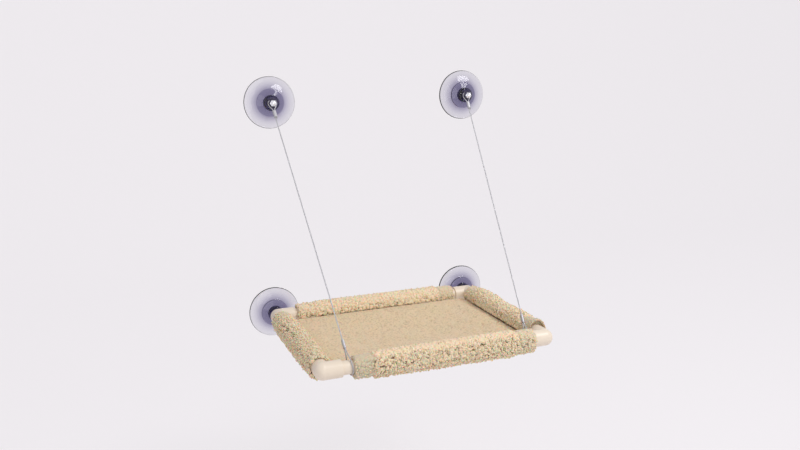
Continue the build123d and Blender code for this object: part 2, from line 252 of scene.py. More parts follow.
def settled(piece):
    """The mesh that an object shows, with its modifiers or its bevel applied."""
    return bpy.data.meshes.new_from_object(piece.evaluated_get(bpy.context.evaluated_depsgraph_get()))


# %% [markdown]
# ## Stage and light
# A pale studio cove, floor and wall in one sheet with a rounded foot, gives no horizon line. Its
# colour comes mostly from its material, so the lamps can stay low enough for the fleece to show its
# own colour. The key light is large and comes from above, from the front right.

# %% Stage
pale = (0.905, 0.878, 0.905, 1)
glow_share = 0.8
floor_drop = 0.28
stage_half_width = 4.0
floor_front, wall_place = -4.0, 2.4
wall_height = 3.2
cove_radius = 0.9


def backdrop_material():
    paint = Paint("studio_cove")
    lit = paint.add("ShaderNodeBsdfDiffuse", None, {"Color": pale}, "BSDF")
    glow = paint.add("ShaderNodeEmission", None, {"Color": pale, "Strength": 1.0}, "Emission")
    both = {0: paint.seen() * glow_share, 1: lit, 2: glow}
    return paint.end(Surface=paint.add("ShaderNodeMixShader", None, both, "Shader"))


sheet = bmesh.new()
floor_height = cad_low.z - floor_drop
ends = (-stage_half_width, stage_half_width)
front = [sheet.verts.new((x, floor_front, floor_height)) for x in ends]
fold = [sheet.verts.new((x, wall_place, floor_height)) for x in ends]
top = [sheet.verts.new((x, wall_place, floor_height + wall_height)) for x in ends]
sheet.faces.new((front[0], front[1], fold[1], fold[0]))
sheet.faces.new((fold[0], fold[1], top[1], top[0]))
crease = [edge for edge in sheet.edges if set(edge.verts) == set(fold)]
bmesh.ops.bevel(sheet, geom=crease, offset=cove_radius, segments=24, profile=0.5, affect="EDGES",
                material=-1)
cove = new_piece("studio_cove", sheet, backdrop_material())

# %% World and lamps
sky = (0.85, 0.825, 0.85, 1)
sky_light = 0.68


def studio_world():
    """A pale sky, at full strength where it is seen and weaker where it lights the perch."""
    paint = Paint("studio", bpy.data.worlds)
    strength = paint.seen() * (1 - sky_light) + sky_light
    glow = paint.add("ShaderNodeBackground", None, {"Color": sky, "Strength": strength}, "Background")
    return paint.end("World", Surface=glow)


bpy.context.scene.world = studio_world()
middle = (cad_low + cad_high) / 2


def lamp(name, place, power, size):
    """A square softbox that faces the perch."""
    light = bpy.data.lights.new(name, "AREA")
    light.energy = power
    light.size = size
    aim = (middle - Vector(place)).to_track_quat("-Z", "Y")
    placed(name, light).matrix_world = Matrix.Translation(place) @ aim.to_matrix().to_4x4()


lamp("key_light", (0.9, -1.1, 1.5), power=17.6, size=0.9)
lamp("fill_light", (-0.5, -1.9, 0.5), power=4.6, size=1.2)
print("stage ready, floor at", round(floor_height, 3))

# %% [markdown]
# ## Clear vinyl
# The cups are moulded in clear vinyl with a violet tint. The tint is hardly seen in the thin skirt
# and is strong in the thick hub, because light loses more colour the further it goes through. So
# the colour isn't painted on: the shader lets light through, and the volume inside takes colour away
# with distance.

# %% Vinyl material
vinyl_ior = 1.48
tint_left = (0.18, 0.14, 0.41)
tint_density = 190.0


def vinyl_material():
    paint = Paint("clear_vinyl")
    body = paint.shader(Base_Color=(0.995, 1.0, 0.985, 1), Transmission_Weight=1.0, IOR=vinyl_ior,
                        Roughness=0.04)
    tint = paint.add("ShaderNodeVolumeAbsorption", None,
                     {"Color": (*tint_left, 1), "Density": tint_density}, "Volume")
    return paint.end(Surface=body, Volume=tint)


vinyl = vinyl_material()

# %% [markdown]
# ## Suction cups
# A cup is a turned shape: a thin skirt that ends in a flat seal ring, a boss, and a hub that holds
# the stud. Its outline is drawn once, from the rim in to the hub and back along the hollow side, and
# `spin` turns it about the stud's axis. The lower cups get a groove across the hub, where the pipe
# elbow lies. A spin leaves its points in an order that changes from run to run, so `in_order` sorts
# them, and all that later goes by a point's number comes out the same each time.

# %% Cup outline
rim_radius, seal_radius = 0.045, 0.041
rim_edge = 0.0012
boss_radius, skirt_foot, boss_top, boss_shoulder = 0.024, 0.007, 0.010, 0.012
hub_radius = 0.0135
skirt_hollow, cavity_depth, cavity_bulge = 0.0014, 0.0015, 0.0005
hub_side_shares = (0.35, 0.7, 1.0)
hub_face_shares = (0.9, 0.75, 0.6, 0.45, 0.3, 0.15, 0)
elbow_radius, seat_clearance = 0.01375, 0.0003
skirt_steps, cavity_steps, turn_steps = 14, 12, 96
rim_round, boss_round, foot_round, shoulder_round = 0.0004, 0.0009, 0.0006, 0.0005
face_round, grooved_face_round = 0.0015, 0.0005


def arc(start, middle_point, end, steps):
    """Points of a shallow curve that passes three points, without the first."""
    start, middle_point, end = Vector(start), Vector(middle_point), Vector(end)
    control = middle_point * 2 - (start + end) / 2
    shares = [(step + 1) / steps for step in range(steps)]
    return [start * (1 - t) ** 2 + control * 2 * t * (1 - t) + end * t ** 2 for t in shares]


def cup_outline(hub_depth):
    """(radius, depth from the glass) from the rim to the axis and back along the hollow side."""
    skirt_middle = ((rim_radius + boss_radius) / 2, (rim_edge + skirt_foot) / 2 - skirt_hollow)
    cavity_middle = (seal_radius / 2, cavity_depth / 2 + cavity_bulge)
    outline = [Vector((rim_radius, 0)), Vector((rim_radius, rim_edge))]
    outline += arc((rim_radius, rim_edge), skirt_middle, (boss_radius, skirt_foot), skirt_steps)
    outline += [Vector((boss_radius, boss_top)), Vector((hub_radius, boss_shoulder))]
    outline += [Vector((hub_radius, boss_shoulder + (hub_depth - boss_shoulder) * share))
                for share in hub_side_shares]
    outline += [Vector((hub_radius * share, hub_depth)) for share in hub_face_shares]
    outline += arc((0, cavity_depth), cavity_middle, (seal_radius, 0), cavity_steps)
    return outline


# %% Lathe
same_place = 1e-6


def place_of(vertex):
    return tuple(vertex.co)


def in_order(shape):
    """The same shape with its points and faces in order of place."""
    points = sorted(shape.verts, key=place_of)
    rank = {vertex: place for place, vertex in enumerate(points)}
    rings = []
    for face in shape.faces:
        ring = [rank[vertex] for vertex in face.verts]
        first = ring.index(min(ring))
        rings.append(ring[first:] + ring[:first])
    ordered = bmesh.new()
    corners = [ordered.verts.new(vertex.co) for vertex in points]
    for ring in sorted(rings):
        ordered.faces.new([corners[place] for place in ring])
    ordered.normal_update()
    shape.free()
    return ordered


def turned(outline, steps):
    """Turns an outline of (radius, depth) about the Y axis, with the depth towards the room."""
    shape = bmesh.new()
    points = [shape.verts.new((radius, -depth, 0)) for radius, depth in outline]
    for first, second in zip(points, points[1:] + points[:1]):
        shape.edges.new((first, second))
    bmesh.ops.spin(shape, geom=shape.verts[:] + shape.edges[:], cent=(0, 0, 0), axis=(0, 1, 0),
                   angle=2 * math.pi, steps=steps, use_merge=True)
    bmesh.ops.remove_doubles(shape, verts=shape.verts, dist=same_place)
    shape = in_order(shape)
    bmesh.ops.recalc_face_normals(shape, faces=shape.faces)
    return shape


def ring_edges(shape, radius, depth, slack=1e-5):
    """The edges of one turned ring."""
    def on_ring(vertex):
        return (abs(math.hypot(vertex.co.x, vertex.co.z) - radius) < slack
                and abs(vertex.co.y + depth) < slack)
    return [edge for edge in shape.edges if all(on_ring(vertex) for vertex in edge.verts)]


def rounded(shape, radius, depth, size):
    """Rounds one turned ring."""
    bmesh.ops.bevel(shape, geom=ring_edges(shape, radius, depth), offset=size, segments=3,
                    profile=0.5, affect="EDGES", material=-1)


# %% Make the cups


def press_groove(shape):
    """Hollows the hub's face where the elbow lies across it."""
    seat = elbow_radius + seat_clearance
    axis_depth = -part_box("rear_rail")[0].y - pipe_radius
    for vertex in shape.verts:
        if abs(vertex.co.z) < seat and -vertex.co.y > boss_shoulder:
            groove = axis_depth - math.sqrt(seat ** 2 - vertex.co.z ** 2)
            vertex.co.y = -min(-vertex.co.y, groove)


def suction_cup(node, grooved):
    low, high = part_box(node)
    centre = Vector(((low.x + high.x) / 2, 0, (low.z + high.z) / 2))
    hub_depth = -low.y
    shape = turned(cup_outline(hub_depth), turn_steps)
    for radius, depth, size in (
            (rim_radius, rim_edge, rim_round), (boss_radius, boss_top, boss_round),
            (boss_radius, skirt_foot, foot_round), (hub_radius, boss_shoulder, shoulder_round),
            (hub_radius, hub_depth, grooved_face_round if grooved else face_round)):
        rounded(shape, radius, depth, size)
    if grooved:
        press_groove(shape)
    bmesh.ops.translate(shape, verts=shape.verts, vec=centre)
    cup = new_piece(f"{node}_vinyl", in_order(shape), vinyl)
    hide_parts(node)
    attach(cup, "window_side")
    return cup


pipe_low, pipe_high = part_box("rear_rail")
pipe_radius = (pipe_high.z - pipe_low.z) / 2
cups = [suction_cup(f"suction_cup_{level_name}_{side}", level_name == "lower")
        for level_name in ("upper", "lower") for side in ("left", "right")]
print("cups", [(cup.name, len(cup.data.polygons)) for cup in cups])

# %% [markdown]
# ## Plastic pipe and elbows
# The frame is cream pressure pipe with slip elbows. Both are semi-gloss, with a faint orange-peel
# surface from the mould or the die, and a warm tone that drifts a little from place to place. The
# solids already have the right shape, so they keep their meshes and only get this finish.

# %% Plastic material
cream, cream_shade = (0.85, 0.745, 0.62), (0.78, 0.68, 0.54)


def plastic_material():
    paint = Paint("cream_pvc")
    drift = paint.noise(0.05, detail=2)
    scuffs = paint.noise(0.004, detail=4, where=paint.stretched((0.25, 0.25, 1)))
    colour = paint.blend((drift * 1.6 - 0.3).at_least(0).at_most(1), cream_shade, cream)
    return paint.finish(
        Base_Color=colour, Roughness=scuffs * 0.16 + 0.26, IOR=1.5,
        Normal=paint.bump(paint.noise(0.0016, detail=1), 0.00005))


plastic = plastic_material()
pvc_nodes = [f"{end}_elbow_{side}" for end in ("rear", "front") for side in ("left", "right")]
pvc_nodes += ["rear_rail", "front_rail", "side_rail_left", "side_rail_right"]
for node in pvc_nodes:
    dress(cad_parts[node], plastic)

# %% [markdown]
# ## Metal parts
# The studs, washers and nuts are turned steel, the cap nuts are chromed, and the ferrules are soft
# aluminium that the crimping tool has dented. Fine scratches run round a turned part, so the noise
# that roughens it is squeezed along the part's axis.

# %% Metal materials


def metal_material(name, colour, roughness, grain, dents=0.0):
    paint = Paint(name)
    scratches = paint.noise(grain, detail=4, where=paint.stretched((1, 6, 1)))
    inputs = {"Base_Color": (*colour, 1), "Metallic": 1.0, "Roughness": scratches * 0.18 + roughness}
    if dents:
        inputs["Normal"] = paint.bump(paint.noise(0.0024, detail=1), dents)
    return paint.finish(**inputs)


steel = metal_material("turned_steel", (0.62, 0.62, 0.64), 0.2, 0.0012)
chrome = metal_material("chrome_plate", (0.86, 0.87, 0.9), 0.03, 0.0012)
aluminium = metal_material("crimped_aluminium", (0.46, 0.46, 0.48), 0.42, 0.0012, dents=0.0003)
for node in ("upper_studs", "lower_studs", "dome_washers", "lower_nuts"):
    dress(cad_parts[node], steel)
for node in ("cap_nut_left", "cap_nut_right"):
    dress(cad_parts[node], chrome)
for node in ("upper_ferrules", "lower_ferrules"):
    dress(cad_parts[node], aluminium)


def nylon_material():
    """Black nylon: dark, and dulled unevenly by handling."""
    paint = Paint("black_nylon")
    wear = paint.noise(0.003, detail=3)
    return paint.finish(Base_Color=paint.blend(wear, (0.025, 0.021, 0.042), (0.075, 0.066, 0.12)),
                        Roughness=wear * 0.25 + 0.35, Specular_IOR_Level=0.35)


nylon = nylon_material()
for node in ("hub_washers", "cap_washers"):
    dress(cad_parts[node], nylon)

# %% [markdown]
# ## Suspension cables
# Each cable is a 2 mm rope of six strands laid round a core. Its route is an eye on the upper stud,
# a taut run, and a noose round the front pipe. The route is one NURBS line through the points that
# the solid's route has. The strands follow points read from that line, and each is a curve with a
# round bevel, turned into a mesh.

# %% Cable route
strand_gap = 0.00105
eye_depth = 0.0246
eye_half, eye_top, shoulder_drop = 0.007, 0.0043, 0.004
tail_points = ((strand_gap, 0.0278), (strand_gap, 0.0189), (strand_gap, 0.0085), (eye_half, 0))
run_points = ((-eye_half, 0), (-strand_gap, 0.0085), (-strand_gap, 0.0189), (-strand_gap, 0.0348))
noose_reach = 0.01197
foot_points = ((0.0536, -strand_gap), (0.026, -strand_gap), (0.009, -noose_reach),
               (-noose_reach, -noose_reach), (-noose_reach, noose_reach), (0.009, noose_reach),
               (0.026, strand_gap), (0.0466, strand_gap))
cable_feet = {"left": -0.1424, "right": 0.155}
held_near_eye, held_near_foot = 0.036, 0.06


def cup_centre(side):
    low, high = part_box(f"suction_cup_upper_{side}")
    return (low + high) / 2


def cable_route(side):
    """The route's points, and the two ends of the taut run."""
    centre = cup_centre(side)
    eye = Vector((centre.x, -eye_depth, centre.z))
    front_low, front_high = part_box("front_rail")
    foot = Vector((cable_feet[side], (front_low.y + front_high.y) / 2, 0))
    shoulder = eye - Vector((0, 0, shoulder_drop))
    lean = (shoulder - foot).normalized()
    sideways = Vector((1, 0, 0))
    across = lean.cross(sideways).normalized()
    points = [shoulder + sideways * off - lean * reach for off, reach in tail_points]
    points += [eye + Vector((off, 0, eye_top)) for off in (eye_half, -eye_half)]
    points += [shoulder + sideways * off - lean * reach for off, reach in run_points]
    points += [foot + lean * along + across * off for along, off in foot_points]
    return points, shoulder - lean * held_near_eye, foot + lean * held_near_foot


def one_spline(name, kind, points):
    """A curve of one open spline on the given points."""
    curve = bpy.data.curves.new(name, "CURVE")
    curve.dimensions = "3D"
    spline = curve.splines.new(kind)
    spline.points.add(len(points) - 1)
    for target, point in zip(spline.points, points):
        target.co = (*point, 1)
    return curve


def curve_mesh(curve):
    """The mesh that a curve shows."""
    holder = placed(curve.name, curve)
    mesh = settled(holder)
    bpy.data.objects.remove(holder)
    return mesh


def nurbs_line(name, points, resolution=40):
    """Points read from the smooth line that the route's points control."""
    curve = one_spline(name, "NURBS", points)
    curve.resolution_u = resolution
    curve.splines[0].order_u = 3
    curve.splines[0].use_endpoint_u = True
    return [vertex.co.copy() for vertex in curve_mesh(curve).vertices]


def evenly(line, step):
    """The same line, read at even steps, and its length."""
    travelled = [0.0]
    for first, second in zip(line, line[1:]):
        travelled.append(travelled[-1] + (second - first).length)
    count = round(travelled[-1] / step)
    spaced, at = [], 0
    for index in range(count + 1):
        wanted = travelled[-1] * index / count
        while at < len(line) - 2 and travelled[at + 1] < wanted:
            at += 1
        share = (wanted - travelled[at]) / max(travelled[at + 1] - travelled[at], 1e-9)
        spaced.append(line[at].lerp(line[at + 1], share))
    return spaced, travelled[-1]


# %% Cable strands
core_radius, strand_radius, strand_orbit = 0.0004, 0.00036, 0.00064
lay_length = 0.013
strand_count = 6
strand_step = 0.0011


def carried_frames(line):
    """A direction square to the line at each point, carried along without twist."""
    side_way = (line[1] - line[0]).orthogonal().normalized()
    frames = []
    for index in range(len(line)):
        before, after = line[max(index - 1, 0)], line[min(index + 1, len(line) - 1)]
        along = (after - before).normalized()
        side_way = (side_way - along * side_way.dot(along)).normalized()
        frames.append((side_way.copy(), along.cross(side_way)))
    return frames


def round_bar(name, line, radius):
    """A mesh of a round wire along a line of points."""
    curve = one_spline(name, "POLY", line)
    curve.bevel_depth = radius
    curve.bevel_resolution = 0
    curve.use_fill_caps = True
    return curve_mesh(curve)


def rope(name, line, length):
    """Six strands laid round a core."""
    frames = carried_frames(line)
    shape = bmesh.new()
    shape.from_mesh(round_bar(name, line, core_radius))
    for strand in range(strand_count):
        path = []
        for index, (point, (side_way, over)) in enumerate(zip(line, frames)):
            turn = 2 * math.pi * (strand / strand_count + index / (len(line) - 1) * length / lay_length)
            path.append(point + (side_way * math.cos(turn) + over * math.sin(turn)) * strand_orbit)
        shape.from_mesh(round_bar(name, path, strand_radius))
    return shape


def wire_material():
    paint = Paint("steel_wire")
    grain = paint.noise(0.0012, detail=3)
    colour = paint.blend(grain, (0.36, 0.36, 0.38), (0.66, 0.66, 0.68))
    return paint.finish(Base_Color=colour, Metallic=0.85, Roughness=grain * 0.2 + 0.28)


wire = wire_material()
for side in ("left", "right"):
    route, run_top, run_foot = cable_route(side)
    line, length = evenly(nurbs_line(f"route_{side}", route), strand_step)
    cable = new_piece(f"cable_{side}_rope", rope(f"rope_{side}", line, length), wire)
    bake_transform(cable)
    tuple(run_top)
    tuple(run_foot)
    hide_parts(f"cable_{side}")
    print("cable", side, "length", round(length, 4), "faces", len(cable.data.polygons))

# %% [markdown]
# ## Fleece
# The cover is curly sherpa fleece: loops of yarn stand on a knitted backing, and shadows gather
# between them. Each piece of the cover is made in two layers. The ground is a closed cloth with lumps
# that follow a cell pattern, and a pit where three lumps meet, darkened with painted shade. On it stand
# tufts of yarn: knots, lying curls and standing loops, turned every way.

# %% Fleece materials
# The third colour is painted shade: the ground takes it in its pits and in the crease by the panel.
fleece_light, fleece_mid, fleece_pit_shade = (0.88, 0.71, 0.50), (0.77, 0.59, 0.39), (0.17, 0.10, 0.05)
hem_grey = (0.52, 0.46, 0.325)


def ground_material(name, light, pit, fibre):
    """The cloth under the tufts: painted shade between the lumps, lighter on them."""
    paint = Paint(name)
    # The attribute read here holds painted light and shade: dark in the pits and the crease, lighter on
    # the top of a roll and, on the seat, on each lump.
    height = paint.add("ShaderNodeAttribute", {"attribute_name": "lump"}, output="Fac")
    flat = paint.add("ShaderNodeAttribute", {"attribute_name": "hem"}, output="Fac")
    drift = paint.noise(0.045, detail=2)
    fuzz = paint.noise(fibre, detail=4)
    tone = (height * 1.5 + drift * 0.3 + fuzz * 0.3 - 0.3).at_least(0).at_most(1)
    colour = paint.blend(flat * 0.7, paint.blend(tone, pit, light), hem_grey)
    return paint.finish(
        Base_Color=colour, Roughness=0.95, Subsurface_Weight=0.4, Subsurface_Scale=0.003,
        Sheen_Weight=0.25, Sheen_Roughness=0.5, Specular_IOR_Level=0.15,
        Normal=paint.bump(fuzz, 0.0006, 0.7))


def yarn_material():
    """Yarn: each tuft is a little lighter or darker than the next."""
    paint = Paint("fleece_yarn")
    drift = paint.noise(0.04, detail=2)
    each = paint.noise(0.006, detail=1)
    tone = (drift * 0.7 + each * 1.3 - 0.55).at_least(0).at_most(1)
    colour = paint.ramp(tone, [(0.0, fleece_mid), (0.55, fleece_light), (1.0, (0.94, 0.81, 0.62))])
    return paint.finish(
        Base_Color=colour, Roughness=0.9, Subsurface_Weight=0.6, Subsurface_Scale=0.003,
        Sheen_Weight=0.3, Sheen_Roughness=0.4, Specular_IOR_Level=0.2,
        Normal=paint.bump(paint.noise(0.0007, detail=3), 0.0003, 0.6))


sleeve_ground = ground_material("fleece_ground", fleece_light, fleece_pit_shade, 0.0011)
# The seat's second colour is painted shade, taken between its lumps.
panel_ground = ground_material("fleece_seat", (0.76, 0.60, 0.385), (0.52, 0.385, 0.225), 0.0014)
yarn = yarn_material()

# %% Lumps
# Unless it is seeded, noise_vector starts from the clock.
noise.seed_set(5)
warp_scale, warp_reach = 0.9, 0.45
crease_width, pit_width = 0.35, 0.3


def smoothed(value):
    """0 below 0, 1 above 1 and a soft step between them."""
    value = min(max(value, 0), 1)
    return value * value * (3 - 2 * value)


def lump(point, cell):
    """Height and openness from 0 to 1 of the cell pattern: lumps, with a pit where three meet."""
    warped = point / cell + noise.noise_vector(point / cell * warp_scale) * warp_reach
    near, second, third = noise.voronoi(warped)[0][:3]
    crease = smoothed((second - near) / crease_width)
    pit = smoothed((third - near) / pit_width)
    return pit * (0.5 + 0.5 * crease), pit * (0.8 + 0.2 * crease)


def raise_lumps(piece, cell, height_at, painted_light_at, flat_at):
    """Moves each point along its normal by its lump, and keeps its painted light and shade and how flat
    it is.
    """
    mesh = piece.data
    lights, flats, moved = [], [], []
    for vertex in mesh.vertices:
        tall, open_share = lump(vertex.co, cell)
        lights.append(painted_light_at(vertex.co, tall, open_share))
        flats.append(flat_at(vertex.co))
        moved.append(vertex.co + vertex.normal * height_at(vertex.co, tall))
    mesh.vertices.foreach_set("co", [number for point in moved for number in point])
    for name, values in (("lump", lights), ("hem", flats)):
        mesh.attributes.new(name, "FLOAT", "POINT").data.foreach_set("value", values)
    mesh.update()


# %% [markdown]
# ## Tufts
# A tuft is a length of yarn: a ring of four points that `spin` turns and lifts. Four kinds are spread
# over the ground. Its points are tried in random order, and a point is kept where no kept one is
# nearer than the room that a tuft needs there.

# %% Tufts of yarn
yarn_radius = 0.00095
cut_end_share = 0.45
standing = Matrix.Rotation(math.pi / 2, 3, "X")
knot = {"turns": 1.6, "radius": 0.00115, "rise": 0.0022, "steps": 9, "narrowing": 0.5}
lying_curl = {"turns": 0.8, "radius": 0.0017, "rise": 0.0008, "steps": 7}
loop = {"turns": 0.62, "radius": 0.0016, "rise": 0.0007, "steps": 7, "pose": standing}
loose_knot = {"turns": 1.3, "radius": 0.0012, "rise": 0.0015, "steps": 8, "narrowing": 0.3}


def tuft(turns, radius, rise, steps, narrowing=0.0, pose=None):
    """A short length of yarn spun up about the Z axis, with closed ends that taper."""
    shape = bmesh.new()
    start = bmesh.ops.create_circle(
        shape, segments=4, radius=yarn_radius,
        matrix=Matrix.Translation((radius, 0, 0)) @ standing.to_4x4())["verts"]
    spun = bmesh.ops.spin(shape, geom=shape.verts[:] + shape.edges[:], cent=(0, 0, 0), axis=(0, 0, 1),
                          dvec=(0, 0, rise / steps), angle=2 * math.pi * turns, steps=steps)
    last = [item for item in spun["geom_last"] if isinstance(item, bmesh.types.BMVert)]
    for ring in (start, last):
        centre = sum((vertex.co for vertex in sorted(ring, key=place_of)), Vector()) / len(ring)
        for vertex in ring:
            vertex.co = centre.lerp(vertex.co, cut_end_share)
    for vertex in shape.verts:
        share = 1 - narrowing * smoothed(vertex.co.z / (rise + yarn_radius))
        vertex.co.x *= share
        vertex.co.y *= share
    bmesh.ops.holes_fill(shape, edges=[edge for edge in shape.edges if edge.is_boundary])
    shape = in_order(shape)
    bmesh.ops.recalc_face_normals(shape, faces=shape.faces)
    if pose:
        bmesh.ops.rotate(shape, verts=shape.verts, cent=(0, 0, 0), matrix=pose)
    mesh = bpy.data.meshes.new("tuft")
    shape.to_mesh(mesh)
    shape.free()
    return mesh


tufts = [tuft(**kind) for kind in (knot, lying_curl, loop, loose_knot)]
print("faces of the tufts", [len(mesh.polygons) for mesh in tufts])

# %% Spread the tufts
widest_spacing = 0.006
size_range = (0.7, 1.3)
lean_spread = 0.45
tuft_sink = 0.0005


def scattered(mesh, spacing_at, seed):
    """Points of a mesh in random order, kept where none kept before is closer than the spacing."""
    order = list(range(len(mesh.vertices)))
    random.Random(seed).shuffle(order)
    kept, grid = [], {}
    for index in order:
        vertex = mesh.vertices[index]
        spacing = spacing_at(vertex.co, vertex.normal)
        if spacing is None:
            continue
        key = tuple(math.floor(number / widest_spacing) for number in vertex.co)
        around = [near for x in (-1, 0, 1) for y in (-1, 0, 1) for z in (-1, 0, 1)
                  for near in grid.get((key[0] + x, key[1] + y, key[2] + z), ())]
        if all((near - vertex.co).length > spacing for near in around):
            grid.setdefault(key, []).append(vertex.co)
            kept.append(index)
    return kept


def tufts_on(piece, name, spacing_at, size_at, seed):
    """Stands tufts on a piece's surface, tilted and turned at random."""
    chance = random.Random(seed)
    shape = bmesh.new()
    places = scattered(piece.data, spacing_at, seed)
    for index in places:
        vertex = piece.data.vertices[index]
        size = size_at(vertex.co) * chance.uniform(*size_range)
        tilt = Vector([chance.gauss(0, lean_spread) for _ in range(3)])
        facing = (vertex.normal + tilt).normalized().to_track_quat("Z", "Y").to_matrix().to_4x4()
        place = (Matrix.Translation(vertex.co - vertex.normal * tuft_sink) @ facing
                 @ Matrix.Rotation(chance.uniform(0, 2 * math.pi), 4, "Z") @ Matrix.Scale(size, 4))
        mesh = chance.choice(tufts).copy()
        mesh.transform(place)
        shape.from_mesh(mesh)
        bpy.data.meshes.remove(mesh)
    pile = new_piece(name, shape, yarn)
    print(name, len(places), "tufts,", len(pile.data.polygons), "faces")
    return pile


# %% [markdown]
# ## Rolled flaps
# Along each side of the seat a flap of fleece rolls round its pipe and ends in a tongue under the
# panel. Whether a point is in the bore, on a hem, or on the top, where the pile is flattened by
# brushing and given painted light, depends on how far along the roll it is and where it lies round
# it. So each flap is a `Flap`, which keeps its axis and what differs from flap to flap, and answers
# such questions about a point.

# %% Fleece sizes
cloth_skin = 0.0011
bore_radius, pocket_radius = 0.0113, 0.0144
bore_margin, bore_fade = 0.0015, 0.002
tongue_margin, tongue_fade = 0.001, 0.003
hem_fade = 0.004
lump_cell = 0.0070
low_pile, full_pile, pile_root = 0.0008, 0.0022, 0.0009
# The last of these is painted light: how far the pits on the top of a roll are lightened.
brushed_and_lit_from, brushed_and_lit_fade, painted_top_light = 0.35, 0.4, 0.75
tuft_spacing, brushed_spacing, hem_spacing = 0.0029, 0.0012, 0.0008
brushed_shrink, hem_tuft_size, hem_tuft_gain = 0.35, 0.72, 0.28
crease_side_share, crease_side_fade = 0.85, 0.08
crease_top, crease_fade = 0.0005, 0.003

# %% What a flap knows


@dataclass
class Flap:
    """One flap of the cover. Its start is its left end or, on a side flap, its rear end."""

    node: str
    pipe: str
    inner: Vector
    hem: float
    pockets: tuple
    slack: tuple
    flat_ends: tuple
    pit_share: float
    # The next four fields set how deep the painted shade in a flap's pits and crease is, and where its
    # top gets painted light and a flattened pile.
    painted_pit_shade: float = 1.0
    crease_shade_depth: float = 1.0
    brushed_and_lit_share: float = 1.0
    brushed_and_lit_lean: float = 0.2

    def __post_init__(self):
        low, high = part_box(self.node)
        across = 1 if self.inner.x == 0 else 0
        self.along_x = across == 1
        self.length = (high - low)[1 - across]
        self.radius = (high - low).z / 2
        self.reach = (high - low)[across] - self.radius
        self.axis = (low + high) / 2
        self.axis[across] = (low[across] + self.radius if self.inner[across] > 0
                             else high[across] - self.radius)
        self.axis.z = 0

    def travel_and_offset(self, point):
        """How far past the roll's middle a point is, towards the end, and its offset from the axis."""
        offset = point - self.axis
        travel = offset.x if self.along_x else -offset.y
        offset[0 if self.along_x else 1] = 0
        return travel, offset

    def showing(self, offset):
        """1 on the outside of the roll, and 0 in its bore and on its tongue."""
        outside = smoothed((offset.length - bore_radius - bore_margin) / bore_fade)
        tongue = smoothed((offset.dot(self.inner) - self.radius + tongue_margin) / tongue_fade)
        return outside * (1 - tongue)

    def give(self, travel, above):
        """How far the cloth stands up over the pipe, or hangs below it."""
        share = min(max(0.5 + travel / self.length, 0), 1)
        before, after = next(pair for pair in zip(self.slack, self.slack[1:]) if share <= pair[1][0])
        side = 1 if above else 2
        part = smoothed((share - before[0]) / (after[0] - before[0]))
        return before[side] + (after[side] - before[side]) * part

    def pile(self, point):
        """How far the outside of the roll shows at a point, and how full its pile is: less on a hem."""
        travel, offset = self.travel_and_offset(point)
        to_end = self.length / 2 - abs(travel)
        flat = self.flat_ends[0 if travel < 0 else 1]
        hem = 1 - flat * (1 - smoothed((to_end - self.hem) / hem_fade))
        return self.showing(offset), hem

    def brushed_and_lit(self, point):
        """1 on the top, where cats and hands have flattened the pile by brushing and the ground gets
        painted light, and 0 below.
        """
        direction = self.travel_and_offset(point)[1].normalized()
        facing = direction.z + direction.dot(self.inner) * self.brushed_and_lit_lean
        return self.brushed_and_lit_share * smoothed((facing - brushed_and_lit_from) / brushed_and_lit_fade)

    def shaded_crease(self, point):
        """How deep the painted shade is in the crease where the roll meets the panel."""
        _, offset = self.travel_and_offset(point)
        side = (offset.dot(self.inner) / self.radius - crease_side_share) / crease_side_fade
        return self.crease_shade_depth * smoothed(side) * smoothed((crease_top - offset.z) / crease_fade)

    def height_at(self, point, tall):
        shown, hem = self.pile(point)
        return shown * (tall * (low_pile + full_pile * hem) - pile_root)

    def painted_light_at(self, point, tall, open_share):
        # Painted shade in the pits and in the crease, and painted light on the top of the roll.
        shown = open_share ** self.painted_pit_shade
        return (shown + (1 - shown) * painted_top_light * self.brushed_and_lit(point)) * (1 - self.shaded_crease(point))

    def flat_at(self, point):
        shown, hem = self.pile(point)
        return shown * (1 - hem)

    def spacing_at(self, point, normal):
        """The room that a tuft needs, or None where none stands."""
        shown, hem = self.pile(point)
        brushed_and_lit = self.brushed_and_lit(point)
        if shown < 0.9 or normal.dot(self.travel_and_offset(point)[1]) < 0 or self.shaded_crease(point) > 0.5:
            return None
        if lump(point, lump_cell)[1] < self.pit_share * (1 - brushed_and_lit):
            return None
        return tuft_spacing + brushed_spacing * brushed_and_lit + hem_spacing * (1 - hem)

    def size_at(self, point):
        """A tuft's size: smaller on the top, where the pile is flattened by brushing, and on a hem."""
        _, hem = self.pile(point)
        return (1 - brushed_shrink * self.brushed_and_lit(point)) * (hem_tuft_size + hem_tuft_gain * hem)


# %% The four flaps
long_hem, short_hem = 0.030, 0.034
